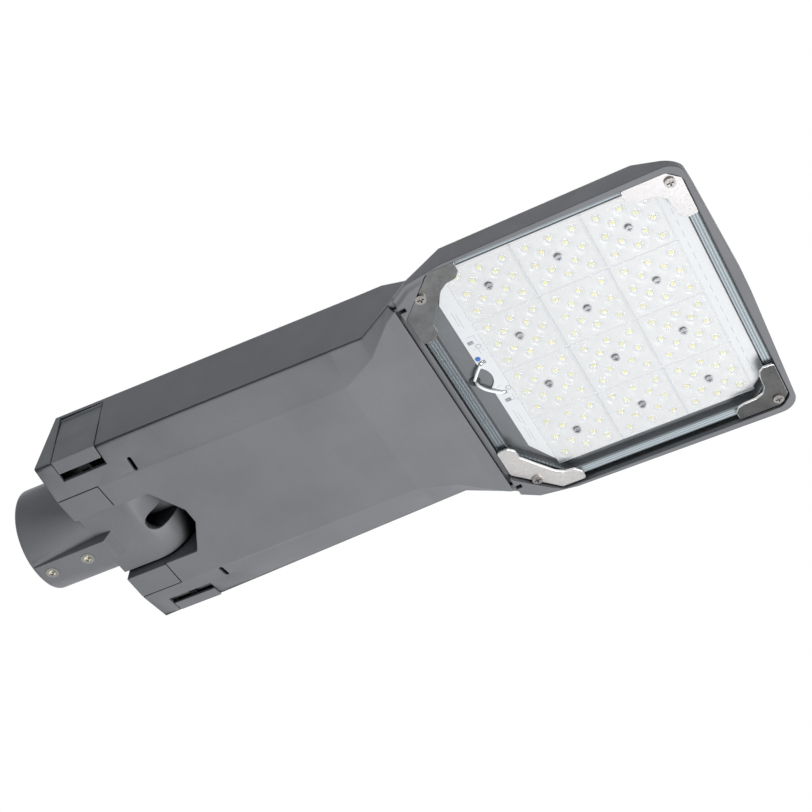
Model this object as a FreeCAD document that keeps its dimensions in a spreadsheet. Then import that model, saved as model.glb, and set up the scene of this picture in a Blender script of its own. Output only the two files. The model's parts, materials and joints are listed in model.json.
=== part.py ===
import FreeCAD, Part
import math
import os
import re
import Sketcher

# LED street light head for a 60 mm pole arm.
# The origin is the centre of the pole socket's mouth. +X runs along the head to its tip, +Z is up
# and the light shines towards -Z. All sizes are millimetres.

doc = FreeCAD.newDocument("street_light_head")
sheet = doc.addObject("Spreadsheet::Sheet", "sizes")

SIZES = {
    # pole socket and tilting knuckle
    "bore_radius": 31,
    "mouth_radius": 39,
    "mouth_round": 3,
    "socket_depth": 52,
    "pivot_reach": 84,
    "knuckle_radius": 30.5,
    "knuckle_half": 33,
    "knuckle_corner": 14,
    "neck_start": 54,
    "pad_half": 10,
    "pad_drop": 38.5,
    "pad_length": 62,
    "pad_slope": 6,
    "cable_slot_half": 8.5,
    "cable_slot_start": 92,
    "grub_first": 12,
    "grub_pitch": 30.5,
    "grub_radius": 5,
    "bolt_radius": 6,
    "cable_floor": 24,
    "washer_radius": 20,
    # gear housing
    "rear_reach": 54,
    "rear_slope": 9.5,
    "rear_half": 89,
    "rear_seam": -31.5,
    "neck_reach": 310,
    "neck_half": 83,
    "neck_seam": -27.2,
    "base_level": -36.5,
    "base_half_rear": 57.5,
    "base_half_front": 55,
    "ramp_start": 284,
    "ramp_end": 332.5,
    "ramp_half": 90,
    "border_level": -32,
    "flare_half": 96.3,
    "shoulder_reach": 356,
    "shoulder_half": 111.4,
    "wall_draft": 6,
    "shell_wall": 3,
    "skin": 2.6,
    "seam_gap": 0.4,
    "crown_level": 38.5,
    "crown_half": 55,
    "crown_side_level": -4.5,
    "crown_end": 325,
    "wing_lean": 38,
    # lamp end
    "head_start": 384,
    "head_half_rear": 116,
    "head_end": 530,
    "head_half_front": 118.7,
    "tip_corner_reach": 551.5,
    "tip_reach": 556,
    "tip_round": 13,
    "rim_level": -30,
    "head_crown_level": 6,
    "head_crown_half": 85,
    "head_side_level": -19.6,
    "outline_reach": 130,
    "fin_wall": 2.5,
    "fin_pitch": 14,
    "fin_floor": -9.5,
    "fin_start": 388,
    "fin_end": 524,
    # window, glass and gasket
    "window_rear": 343.3,
    "window_rear_half": 84,
    "window_cut_reach": 373,
    "window_half": 113.7,
    "window_tip": 548.8,
    "window_tip_cut": 8,
    "clip_seat": -26.7,
    "clip_thick": 2,
    "glass_rear": 346,
    "glass_rear_half": 70,
    "glass_cut_reach": 379.5,
    "glass_half": 112.3,
    "glass_tip": 547,
    "glass_tip_cut": 21.5,
    "glass_thick": 4,
    "glass_gap": 1.4,
    "gasket_width": 6,
    "gasket_thick": 2,
    "lamp_floor": -14.5,
    # lamp board, lenses and chips
    "board_thick": 1.6,
    "board_rear": 364.5,
    "board_rear_half": 74,
    "board_cut_reach": 379,
    "board_half": 100,
    "board_tip": 539,
    "board_tip_cut": 14,
    "tile_pitch": 50,
    "tile_centre": 452,
    "tile_gap": 0.4,
    "tile_thick": 1.8,
    "dome_radius": 4.9,
    "dome_height": 3.2,
    "chip_side": 3,
    "chip_thick": 0.7,
    "chip_room": 2.5,
    # corner clips and screws
    "clip_rear_x": 360.4,
    "clip_rear_y": 95.6,
    "clip_front_x": 540.3,
    "clip_front_y": 105.4,
    "screw_radius": 2,
    "tile_screw": 1.25,
    "screw_head": 3.8,
    "screw_head_thick": 2,
    "screw_length": 8,
    "hole_clearance": 0.05,
    # cover details
    "vent_reach": 119.7,
    "vent_half": 63.5,
    "vent_length": 12,
    "vent_width": 3.2,
    "rib_start": 140,
    "rib_pitch": 26,
    "rib_height": 4,
    # latches
    "latch_start": 68.5,
    "latch_end": 103,
    "latch_gap": 0.6,
    "latch_lip": 78,
    "latch_wall_half": 75.4,
    "latch_back": 78.7,
    "latch_crease": -6,
    "catch_level": -30.7,
    "catch_thick": 0.5,
    "catch_middle": 86,
    "catch_half": 3,
    "finger_slot": 71,
    "latch_pin_level": 16.6,
    "latch_pin_half": 81.1,
    "latch_pin_radius": 1.2,
    "latch_barrel": 2.2,
    # cover hinge
    "hinge_reach": 346,
    "hinge_level": -25,
    "hinge_inner": 92.4,
    "hinge_outer": 95.2,
    "hinge_barrel": 3.8,
    "hinge_socket": 4.5,
    "hinge_pin_radius": 1.8,
    "hinge_relief": 8.2,
    "hinge_arm_root": 2.1,
    # knuckle chamber
    "chamber_half": 35.2,
    "chamber_end": 129.5,
    "ear_half": 57,
    "ear_pad_end": 86.8,
    "ear_end": 104,
    "opening_half": 34.4,
    "opening_reach": 114,
    "opening_nose": 129,
    "opening_nose_half": 7,
    # gear inside
    "tray_start": 140,
    "tray_end": 321,
    "tray_half": 62,
    "tray_level": 24,
    "tray_thick": 1.2,
    "tray_lip": 8,
    "driver_start": 176,
    "driver_length": 140,
    "driver_half": 31,
    "driver_thick": 34,
    "surge_start": 205,
    "surge_length": 56,
    "surge_width": 20,
    "surge_thick": 28,
    "terminal_start": 146,
    "terminal_width": 20,
    "terminal_length": 44,
    "terminal_thick": 18,
    "terminal_side": -40,
    "gland_radius": 10,
    "gland_nut": 13,
    "gasket_start": 134,
    "gasket_end": 337,
    "wire_radius": 1.1,
    "wire_hole": 3.6,
    "wire_notch": 13.2,
    "wire_hole_reach": 356.5,
    "wire_duct_level": -4,
}


def fill_sheet():
    for row, (alias, number) in enumerate(SIZES.items(), start=1):
        sheet.set(f"A{row}", alias)
        sheet.set(f"B{row}", str(number))
        sheet.setAlias(f"B{row}", alias)
    doc.recompute()


def size(alias):
    return float(sheet.get(alias))


def formula(text):
    """Names in a formula are cells of the sheet."""
    return re.sub(r"[a-z]+(?:_[a-z]+)*", lambda word: cell_name(word.group(0)), str(text))


def cell_name(word):
    return "sizes." + word if word in SIZES else word


def bind(item, **properties):
    for name, text in properties.items():
        item.setExpression(name, formula(text))
    return item


def place(item, x, y, z):
    for letter, text in zip("xyz", (x, y, z)):
        item.setExpression("Placement.Base." + letter, formula(text))
    return item


def present(text):
    """The present value of a formula."""
    return float(sheet.evalExpression(str(text)))


# Part primitives and booleans

def box(name, low, high):
    """A box between two corners, each three formulas."""
    item = doc.addObject("Part::Box", name)
    spans = [f"({b}) - ({a})" for a, b in zip(low, high)]
    bind(item, Length=spans[0], Width=spans[1], Height=spans[2])
    return place(item, *low)


TURNS = {
    "+Z": FreeCAD.Rotation(),
    "-Z": FreeCAD.Rotation(FreeCAD.Vector(1, 0, 0), 180),
    "+X": FreeCAD.Rotation(FreeCAD.Vector(0, 1, 0), 90),
    "-X": FreeCAD.Rotation(FreeCAD.Vector(0, 1, 0), -90),
    "+Y": FreeCAD.Rotation(FreeCAD.Vector(1, 0, 0), -90),
    "-Y": FreeCAD.Rotation(FreeCAD.Vector(1, 0, 0), 90),
}


def rod(name, start, towards, radius, length):
    """A cylinder from its start point along an axis."""
    item = doc.addObject("Part::Cylinder", name)
    item.Placement.Rotation = TURNS[towards]
    bind(item, Radius=radius, Height=length)
    return place(item, *start)


def hexagon(name, start, towards, radius, length):
    item = doc.addObject("Part::Prism", name)
    item.Polygon = 6
    item.Placement.Rotation = TURNS[towards]
    bind(item, Circumradius=radius, Height=length)
    return place(item, *start)


def fuse(name, *items):
    item = doc.addObject("Part::MultiFuse", name)
    item.Shapes = list(items)
    item.Refine = True
    return item


def common(name, first, *others):
    """What all the items share, taken two at a time."""
    for number, other in enumerate(others, start=1):
        item = doc.addObject("Part::Common", name if number == len(others) else f"{name}_{number}")
        item.Base, item.Tool = first, other
        first = item
    return first


def cut(name, base, *tools):
    item = doc.addObject("Part::Cut", name)
    item.Base = base
    item.Tool = tools[0] if len(tools) == 1 else group(name + "_tools", *tools)
    return item


def group(name, *items):
    """Separate solids kept together as one object."""
    item = doc.addObject("Part::Compound", name)
    item.Links = list(items)
    return item


# Sketches and pads

def origin_plane(body, role):
    return next(feature for feature in body.Origin.OriginFeatures if feature.Role == role)


def new_sketch(body, name, role, offset):
    sketch = body.newObject("Sketcher::SketchObject", name)
    sketch.AttachmentSupport = (origin_plane(body, role), "")
    sketch.MapMode = "FlatFace"
    sketch.setExpression("AttachmentOffset.Base.z", formula(offset))
    return sketch


def polygon_sketch(body, name, role, points, offset="0"):
    """A closed outline whose corners are bound to formulas."""
    sketch = new_sketch(body, name, role, offset)
    corners = [FreeCAD.Vector(present(x), present(y), 0) for x, y in points]
    count = len(points)
    for index in range(count):
        sketch.addGeometry(Part.LineSegment(corners[index], corners[(index + 1) % count]))
    for index in range(count):
        sketch.addConstraint(Sketcher.Constraint("Coincident", index, 2, (index + 1) % count, 1))
    for index, point in enumerate(points):
        for kind, text, value in zip(("DistanceX", "DistanceY"), point, corners[index]):
            number = sketch.addConstraint(Sketcher.Constraint(kind, -1, 1, index, 1, value))
            sketch.setExpression(f"Constraints[{number}]", formula(text))
    return sketch


def pad(body, sketch, length, taper=0):
    item = body.newObject("PartDesign::Pad", sketch.Name + "_pad")
    item.Profile = sketch
    item.setExpression("Length", formula(length))
    if taper:
        item.setExpression("TaperAngle", formula(taper))
    sketch.Visibility = False
    return item


def round_upright(body, feature, radius, wanted=lambda x, y: True):
    """Fillets the edges that stand along Z and whose place is wanted."""
    doc.recompute()
    names = []
    for number, edge in enumerate(feature.Shape.Edges, start=1):
        bounds = edge.BoundBox
        upright = bounds.ZLength > 0.9 * feature.Shape.BoundBox.ZLength
        if upright and wanted(bounds.Center.x, abs(bounds.Center.y)):
            names.append(f"Edge{number}")
    item = body.newObject("PartDesign::Fillet", feature.Name + "_rounds")
    item.Base = (feature, names)
    item.setExpression("Radius", formula(radius))
    return item


def plate(name, points, low, thickness, radius=None, wanted=lambda x, y: True, taper=0):
    """A flat or drafted piece from one outline."""
    body = doc.addObject("PartDesign::Body", name)
    outline = polygon_sketch(body, name + "_outline", "XY_Plane", points, low)
    feature = pad(body, outline, thickness, taper)
    if radius is not None:
        round_upright(body, feature, radius, wanted)
    return body


def mirrored(name, source):
    """The same piece on the other side of the head."""
    item = doc.addObject("Part::Mirroring", name)
    item.Source = source
    item.Normal = FreeCAD.Vector(0, 1, 0)
    return item


def both_sides(half):
    """An outline given for +Y, closed by its mirror image."""
    other = [(x, f"-({y})") for x, y in reversed(half)]
    return half + other


def shape_object(name, shape):
    item = doc.addObject("Part::Feature", name)
    item.Shape = shape
    return item


def loft(name, sections):
    """A solid with straight sides through sections across the head."""
    wires = []
    for points in sections:
        corners = [FreeCAD.Vector(*point) for point in points]
        wires.append(Part.makePolygon(corners + corners[:1]))
    return shape_object(name, Part.makeLoft(wires, True, True))


fill_sheet()


# Spigot: pole socket, neck and tilting knuckle in one casting

def rounded_section(x, half, drop, corner):
    """Eight edges of a rounded rectangle across the socket axis."""
    flat, rise = half - corner, drop - corner
    edges = []
    for turn, (side, up) in enumerate(((1, 1), (-1, 1), (-1, -1), (1, -1))):
        centre = FreeCAD.Vector(x, side * flat, up * rise)
        edges.append(arc_across(centre, corner, 90 * turn, 90 * turn + 90))
    return closed_by_lines(edges)


def round_section(x, radius, corner_angle):
    """A circle cut into eight arcs that answer the rounded rectangle's edges."""
    centre = FreeCAD.Vector(x, 0, 0)
    spread = (90 - 2 * corner_angle) / 2
    edges = []
    for turn in range(4):
        middle = 90 * turn + 45
        edges.append(arc_across(centre, radius, middle - spread, middle + spread))
        edges.append(arc_across(centre, radius, middle + spread, middle + 90 - spread))
    return Part.Wire(edges)


def arc_across(centre, radius, start, end):
    points = []
    for angle in (start, (start + end) / 2, end):
        turn = math.radians(angle)
        points.append(centre + FreeCAD.Vector(0, radius * math.cos(turn), radius * math.sin(turn)))
    return Part.Arc(*points).toShape()


def closed_by_lines(arcs):
    edges = []
    for index, arc in enumerate(arcs):
        following = arcs[(index + 1) % len(arcs)]
        edges.append(arc)
        edges.append(Part.LineSegment(arc.lastVertex().Point, following.firstVertex().Point).toShape())
    return Part.Wire(edges)


def spigot_tube():
    mouth = round_section(0, size("mouth_radius"), 20)
    root = rounded_section(size("neck_start"), size("knuckle_half"), size("knuckle_radius"),
                           size("knuckle_corner"))
    tube = Part.makeLoft([mouth, root], True, True)
    edges = [edge for edge in tube.Edges if edge.BoundBox.XMax < 0.01]
    return shape_object("spigot_tube", tube.makeFillet(size("mouth_round"), edges))


def spigot_pad():
    """The flat strip under the socket that carries the grub screws."""
    body = doc.addObject("PartDesign::Body", "spigot_pad")
    profile = [
        ("mouth_round", "-pad_drop"), ("pad_length", "-pad_drop"),
        ("pad_length + pad_slope", "-knuckle_radius"), ("pad_length + pad_slope", "-mouth_radius / 2"),
        ("mouth_round", "-mouth_radius / 2"),
    ]
    sketch = polygon_sketch(body, "spigot_pad_outline", "XZ_Plane", profile, "-pad_half")
    pad(body, sketch, "2 * pad_half")
    return body


def spigot():
    block = box("knuckle_block", ("neck_start - 1", "-knuckle_half", "-knuckle_radius"),
                ("pivot_reach", "knuckle_half", "knuckle_radius"))
    nose = rod("knuckle_nose", ("pivot_reach", "-knuckle_half", "0"), "+Y", "knuckle_radius",
               "2 * knuckle_half")
    solid = fuse("spigot_solid", spigot_tube(), block, nose, spigot_pad())
    bore = rod("socket_bore", ("-1", "0", "0"), "+X", "bore_radius", "socket_depth + 1")
    passage = box("cable_passage", ("socket_depth - 2", "-cable_slot_half", "-cable_floor"),
                  ("pivot_reach + knuckle_radius", "cable_slot_half", "-bolt_radius - 3"))
    slot = box("cable_slot", ("cable_slot_start + cable_slot_half", "-cable_slot_half",
                              "-knuckle_radius - 1"),
               ("pivot_reach + knuckle_radius + 1", "cable_slot_half", "-bolt_radius - 3"))
    slot_end = rod("cable_slot_end", ("cable_slot_start + cable_slot_half", "0",
                                      "-knuckle_radius - 1"),
                   "+Z", "cable_slot_half", "knuckle_radius - bolt_radius - 2")
    bolt_hole = rod("knuckle_hole", ("pivot_reach", "-knuckle_half - 1", "0"), "+Y",
                    "bolt_radius + hole_clearance", "2 * knuckle_half + 2")
    holes = [rod(f"grub_hole_{number}", (f"grub_first + {number} * grub_pitch", "0", "-pad_drop - 1"),
                 "+Z", "grub_radius + hole_clearance", "pad_drop - bore_radius + 2")
             for number in range(2)]
    return cut("spigot", solid, bore, passage, slot, slot_end, bolt_hole, *holes)


def grub_screws():
    """Two hexagon socket screws, backed off flush so that the pole can enter."""
    screws = []
    for number in range(2):
        x = f"grub_first + {number} * grub_pitch"
        shank = rod(f"grub_{number}", (x, "0", "-pad_drop - 0.4"), "+Z", "grub_radius",
                    "pad_drop - bore_radius")
        socket = hexagon(f"grub_socket_{number}", (x, "0", "-pad_drop - 1"), "+Z",
                         "0.58 * grub_radius", "4")
        screws.append(cut(f"grub_screw_{number}", shank, socket))
    return group("pole_set_screws", *screws)


def pivot_bolt():
    shank = rod("bolt_shank", ("pivot_reach", "-ear_half - 1", "0"), "+Y", "bolt_radius",
                "2 * ear_half + 15")
    head = hexagon("bolt_head", ("pivot_reach", "-ear_half", "0"), "-Y", "1.8 * bolt_radius",
                   "1.25 * bolt_radius")
    return fuse("pivot_bolt", shank, head)


def pivot_nut():
    nut = hexagon("nut_body", ("pivot_reach", "ear_half", "0"), "+Y", "1.8 * bolt_radius",
                  "1.6 * bolt_radius")
    hole = rod("nut_hole", ("pivot_reach", "ear_half - 1", "0"), "+Y",
               "bolt_radius + hole_clearance", "2 * bolt_radius")
    return cut("pivot_nut", nut, hole)


def tilt_washers():
    """Friction washers between the knuckle and the housing's ears."""
    washers = []
    for number, towards in enumerate(("+Y", "-Y")):
        y = "knuckle_half + 0.1" if towards == "+Y" else "-knuckle_half - 0.1"
        disc = rod(f"washer_disc_{number}", ("pivot_reach", y, "0"), towards, "washer_radius",
                   "chamber_half - knuckle_half - 0.1")
        hole = rod(f"washer_hole_{number}", ("pivot_reach", y, "0"), towards,
                   "bolt_radius + hole_clearance", "chamber_half - knuckle_half")
        washers.append(cut(f"washer_{number}", disc, hole))
    return group("tilt_washers", *washers)


# Outlines and levels that the housing and the cover share

def seam_level(x):
    """Level of the seam between the side wall and the cover."""
    rear, neck = size("rear_reach"), size("neck_reach")
    share = min(1, (x - rear) / (neck - rear))
    return size("rear_seam") + share * (size("neck_seam") - size("rear_seam"))


def seam_half(x):
    rear, neck = size("rear_reach"), size("neck_reach")
    share = (x - rear) / (neck - rear)
    return size("rear_half") + share * (size("neck_half") - size("rear_half"))


def ramp_level(x):
    start, end = size("ramp_start"), size("ramp_end")
    share = (x - start) / (end - start)
    return size("base_level") + share * (size("border_level") - size("base_level"))


def belly_stations():
    """Reach, half width and level of the flat underside, then of the seam."""
    rear, ramp, neck = size("rear_reach"), size("ramp_start"), size("neck_reach")
    neck_flat = size("base_half_front") + 13
    return [
        (rear - 4, size("base_half_rear"), size("base_level"), size("rear_half"), size("rear_seam")),
        (ramp, size("base_half_front"), size("base_level"), seam_half(ramp), seam_level(ramp)),
        (neck, neck_flat, ramp_level(neck), size("neck_half"), size("neck_seam")),
        (size("ramp_end"), size("ramp_half"), size("border_level"), size("flare_half"),
         size("neck_seam")),
        (size("shoulder_reach"), size("shoulder_half") - 6, size("border_level") + 0.5,
         size("shoulder_half"), size("neck_seam") - 0.8),
        (size("head_start"), size("head_half_rear") - 4, size("rim_level"),
         size("head_half_rear") + 1, size("rim_level") + 0.8),
    ]


def belly():
    """The whole underside, from its facets up to the seam."""
    return loft("belly", [[(x, -seam, top), (x, -flat, low), (x, flat, low), (x, seam, top)]
                          for x, flat, low, seam, top in belly_stations()])


def belly_skin(thickness):
    """A sheet that follows the facets."""
    sections = []
    for x, flat, low, seam, top in belly_stations():
        outside = [(x, -seam, top), (x, -flat, low), (x, flat, low), (x, seam, top)]
        inside = [(x, y, z + thickness) for x, y, z in reversed(outside)]
        sections.append(outside + inside)
    return loft("belly_skin", sections)


def seam_slab(name, low, high):
    """A slab between two heights above the seam, behind the window."""
    side = size("outline_reach")
    sections = []
    for x in (0, size("neck_reach"), size("window_rear") + 0.9):
        at = seam_level(x)
        sections.append([(x, -side, at + low), (x, side, at + low),
                         (x, side, at + high), (x, -side, at + high)])
    return loft(name, sections)


def roof(name, drop):
    """Everything under the crowned top, which falls towards the lamp end."""
    side, low = size("outline_reach"), -60
    gear = (size("crown_side_level"), size("crown_half"), size("crown_level"))
    head = (size("head_side_level"), size("head_crown_half"), size("head_crown_level"))
    tip_fall = 18
    tip = (head[0] - tip_fall, head[1], head[2] - tip_fall)
    stations = [(0, gear), (size("crown_end"), gear), (size("head_start") - 12, head),
                (size("head_end") - 10, head), (size("tip_reach") + 4, tip)]
    return loft(name, [[(x, -side, low), (x, side, low), (x, side, edge - drop),
                        (x, half, crown - drop), (x, -half, crown - drop), (x, -side, edge - drop)]
                       for x, (edge, half, crown) in stations])


def plan(inset):
    """The outline seen from above, for +Y."""
    return [
        (f"rear_reach - 4 + ({inset})", f"rear_half - ({inset})"),
        (f"neck_reach + 0.3 * ({inset})", f"neck_half - ({inset})"),
        (f"ramp_end + 0.5 * ({inset})", f"flare_half - ({inset})"),
        (f"shoulder_reach + 0.5 * ({inset})", f"shoulder_half - ({inset})"),
        ("head_start", f"head_half_rear - ({inset})"),
        ("head_end", f"head_half_front - ({inset})"),
        (f"tip_corner_reach - ({inset})", f"head_half_front - ({inset})"),
        (f"tip_reach - ({inset})", "4"),
    ]


def at_tip_corner(x, y):
    return x > size("head_end") + 10 and y > 50


def block(name, inset, radius=None):
    """The drafted body above the rim level and the straight one below it."""
    upper = plate(name + "_upper", both_sides(plan(inset)), "rim_level", "crown_level - rim_level + 10",
                  radius, at_tip_corner, taper="-wall_draft")
    lower = plate(name + "_lower", both_sides(plan(inset)), "base_level - 4", "rim_level - base_level + 4",
                  radius, at_tip_corner)
    return fuse(name, upper, lower)


def rear_block(name, inset):
    """The gear box alone: its side walls run on straight between the wings of the shoulder."""
    half = [(f"rear_reach - 4 + ({inset})", f"rear_half - ({inset})"),
            (f"neck_reach + 0.3 * ({inset})", f"neck_half - ({inset})"),
            ("head_start + 20", f"neck_half - ({inset})")]
    upper = plate(name + "_upper", both_sides(half), "rim_level", "crown_level - rim_level + 10",
                  taper="-wall_draft")
    lower = plate(name + "_lower", both_sides(half), "base_level - 4", "rim_level - base_level + 4")
    return fuse(name, upper, lower)


def wing_space(side):
    """What lies above one wing: the shoulder's top leans inwards from its lower edge."""
    rear = FreeCAD.Vector(size("neck_reach"), side * size("neck_half"), 0)
    front = FreeCAD.Vector(size("shoulder_reach"), side * size("shoulder_half"), 0)
    along = (front - rear).normalize()
    inwards = FreeCAD.Vector(side * along.y, -side * along.x, 0)
    low, high = size("neck_seam") + 1, size("crown_level") + 20
    sections = []
    for level in (low, high):
        shift = inwards * ((level - low) * math.tan(math.radians(size("wing_lean"))))
        inner = [rear - along * 30 + shift, front + along * 60 + shift]
        outer = [point - inwards * 160 for point in reversed(inner)]
        sections.append([(point.x, point.y, level) for point in inner + outer])
    return loft(f"wing_space_{'right' if side > 0 else 'left'}", sections)


def wing_cuts():
    spaces = group("wing_spaces", wing_space(1), wing_space(-1))
    return cut("wing_cuts", spaces, rear_block("between_wings", "0"))


def rear_cut():
    """What lies behind the slanted rear face."""
    item = doc.addObject("Part::Box", "rear_cut")
    depth, below, tall = 60, 20, 150
    bind(item, Length=depth, Width="2 * outline_reach", Height=tall)
    item.Placement.Rotation = FreeCAD.Rotation(FreeCAD.Vector(0, 1, 0), size("rear_slope"))
    lean = math.radians(size("rear_slope"))
    back = depth * math.cos(lean) + below * math.sin(lean)
    rise = depth * math.sin(lean) - below * math.cos(lean)
    return place(item, f"rear_reach - {back}", "-outline_reach", f"base_level + {rise}")


# Window, glass and lamp pocket outlines

def window_outline():
    return both_sides([
        ("window_rear", "window_rear_half"), ("window_cut_reach", "window_half"),
        ("window_tip - window_tip_cut", "window_half"), ("window_tip", "window_half - window_tip_cut"),
    ])


def glass_outline(grow):
    """The glass's octagon, grown on every side."""
    return both_sides([
        (f"glass_rear - {grow}", f"glass_rear_half + 0.4 * {grow}"),
        (f"glass_cut_reach - 0.4 * {grow}", f"glass_half + {grow}"),
        (f"glass_tip - glass_tip_cut + 0.4 * {grow}", f"glass_half + {grow}"),
        (f"glass_tip + {grow}", f"glass_half - glass_tip_cut + 0.4 * {grow}"),
    ])


def board_outline():
    return both_sides([
        ("board_rear", "board_rear_half"), ("board_cut_reach", "board_half"),
        ("board_tip - board_tip_cut", "board_half"), ("board_tip", "board_half - board_tip_cut"),
    ])


GLASS_TOP = "clip_seat + glass_thick"
GASKET_TOP = "clip_seat + glass_thick + gasket_thick"


def front_glass():
    return plate("front_glass", glass_outline("0"), "clip_seat", "glass_thick", "3")


def glass_gasket():
    ring = plate("gasket_ring", glass_outline("0"), GLASS_TOP, "gasket_thick", "3")
    inside = plate("gasket_inside", glass_outline("-gasket_width"), GLASS_TOP + " - 1",
                   "gasket_thick + 2", "3")
    return cut("glass_gasket", ring, inside)


# Upper housing: gear box, lamp chamber, ears and fins in one casting

def clip_places():
    return [("clip_rear_x", "clip_rear_y"), ("clip_rear_x", "-clip_rear_y"),
            ("clip_front_x", "clip_front_y"), ("clip_front_x", "-clip_front_y")]


def tile_places():
    """Centres of the lens tiles, three along the head and four across."""
    return [(f"tile_centre + {along} * tile_pitch", f"{across} * tile_pitch")
            for along in (-1, 0, 1) for across in (-1.5, -0.5, 0.5, 1.5)]


def tray_places():
    return [(x, y) for x in ("tray_start + 8", "tray_end - 8") for y in ("tray_half - 14", "14 - tray_half")]


def chamber(name, grow, low):
    """The pocket that the knuckle swings in, or its walls if it is grown."""
    return box(name, ("rear_reach - 20", f"-chamber_half - {grow}", low),
               (f"chamber_end + {grow}", f"chamber_half + {grow}", "crown_level - shell_wall"))


def gear_space():
    """The hollow of the gear box, less what stands in it."""
    inner = rear_block("gear_hull", "shell_wall")
    under_roof = roof("gear_roof", size("shell_wall"))
    reach = box("gear_reach", ("rear_reach + shell_wall + 4", "-outline_reach", "-60"),
                ("window_rear - shell_wall", "outline_reach", "60"))
    space = common("gear_hollow", inner, under_roof, reach)
    walls = chamber("chamber_walls", "shell_wall", "-60")
    ears = box("ears", ("rear_reach", "-ear_half", "-60"), ("ear_end", "ear_half", "60"))
    latch_walls = [box(f"latch_wall_{number}", ("latch_start - 4", low, "-60"),
                       ("latch_end + 4", high, "60"))
                   for number, (low, high) in enumerate((("latch_wall_half", "outline_reach"),
                                                         ("-outline_reach", "-latch_wall_half")))]
    return cut("gear_space", space, walls, ears, *latch_walls)


def gear_ring(name, low, high, outer, inner):
    """A rectangular ring above the cover's skin, just inside the side walls."""
    slab = seam_slab(name + "_slab", low, high)
    start, end = "gasket_start", "gasket_end"
    span = box(name + "_span", (start, "-outline_reach", "-60"), (end, "outline_reach", "60"))
    outside = rear_block(name + "_outside", outer)
    inside = rear_block(name + "_inside", inner)
    middle = box(name + "_middle", (f"{start} + {inner} - {outer}", "-outline_reach", "-60"),
                 (f"{end} - {inner} + {outer}", "outline_reach", "60"))
    hollow = common(name + "_hollow", inside, middle)
    return cut(name, common(name + "_solid", slab, span, outside), hollow)


def fin_gaps():
    gaps = []
    count = 13
    for number in range(count):
        offset = f"({number} - {(count - 1) / 2}) * fin_pitch"
        low, high = f"{offset} - (fin_pitch - fin_wall) / 2", f"{offset} + (fin_pitch - fin_wall) / 2"
        gaps.append(box(f"fin_gap_{number}", ("fin_start", low, "fin_floor"), ("fin_end", high, "60")))
    return gaps


def under_cover_skin(name, clearance):
    """All that lies under the cover skin's upper face."""
    rise = size("skin") + clearance
    sections = []
    for x, flat, low, seam, top in belly_stations():
        face = [(x, -seam, top + rise), (x, -flat, low + rise), (x, flat, low + rise), (x, seam, top + rise)]
        sections.append(face + [(x, seam, -60), (x, -seam, -60)])
    return loft(name, sections)


def cover_room():
    """Room between the side walls for the cover's skin."""
    reach = box("cover_room_reach", ("0", "-outline_reach", "-60"),
                ("window_rear + 0.5", "outline_reach", "0"))
    return common("cover_room", under_cover_skin("cover_room_fill", 0.5),
                  block("cover_room_hull", "shell_wall + 0.1"), reach)


def housing_shell():
    """The outer form, cut along the seam and hollowed."""
    body = block("outer", "0", "tip_round")
    top = roof("roof", 0)
    above_seam = seam_slab("above_seam", size("seam_gap"), 100)
    above_rim = box("above_rim", ("window_rear + 0.5", "-outline_reach", "rim_level"),
                    ("tip_reach + 20", "outline_reach", "60"))
    upper = cut("housing_upper", common("housing_top", body, top, fuse("above_cover", above_seam, above_rim)),
                cover_room())
    border = common("housing_border", belly(), body,
                    box("border_reach", ("window_rear + 0.5", "-outline_reach", "-60"),
                        ("tip_reach", "outline_reach", "60")))
    pads = [box(f"ear_pad_{number}", ("rear_reach", low, "base_level"),
                ("ear_pad_end", high, "rim_level + 2"))
            for number, (low, high) in enumerate((("chamber_half", "ear_half"),
                                                  ("-ear_half", "-chamber_half")))]
    skirt = box("chamber_skirt", ("rear_reach", "-chamber_half - shell_wall", "base_level + skin + seam_gap"),
                ("chamber_end + shell_wall", "chamber_half + shell_wall", "rim_level + 2"))
    whole = fuse("housing_whole", upper, border, skirt, *pads)
    return cut("housing_shell", whole, gear_space(), chamber("chamber_space", "0", "-60"), rear_cut(),
               wing_cuts(), *fin_gaps())


def window_cuts():
    recess = plate("window_recess", window_outline(), "base_level - 10", "clip_seat - base_level + 10",
                   "8")
    glass_room = plate("glass_room", glass_outline("glass_gap"), "base_level - 10",
                       GASKET_TOP + " - base_level + 10", "3")
    lamp_room = plate("lamp_room", glass_outline("-gasket_width"), "base_level - 10",
                      "lamp_floor - base_level + 10", "3")
    return [recess, glass_room, lamp_room]


def wire_duct():
    rise = rod("duct_rise", ("wire_hole_reach", "0", "lamp_floor - 1"), "+Z", "wire_hole",
               "wire_duct_level - lamp_floor + 4")
    along = box("duct_along", ("window_rear - shell_wall - 1", "-4", "wire_duct_level - 3"),
                ("wire_hole_reach", "4", "wire_duct_level + 3"))
    return [rise, along]


def screw_holes():
    holes = [rod(f"clip_hole_{number}", (x, y, "clip_seat - 5"), "+Z", "screw_radius + hole_clearance",
                 "screw_length - clip_thick + 6.5")
             for number, (x, y) in enumerate(clip_places())]
    holes += [rod(f"tile_hole_{number}", (x, y, "lamp_floor - 1"), "+Z", "tile_screw + hole_clearance", "5")
              for number, (x, y) in enumerate(tile_places())]
    return holes


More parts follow.
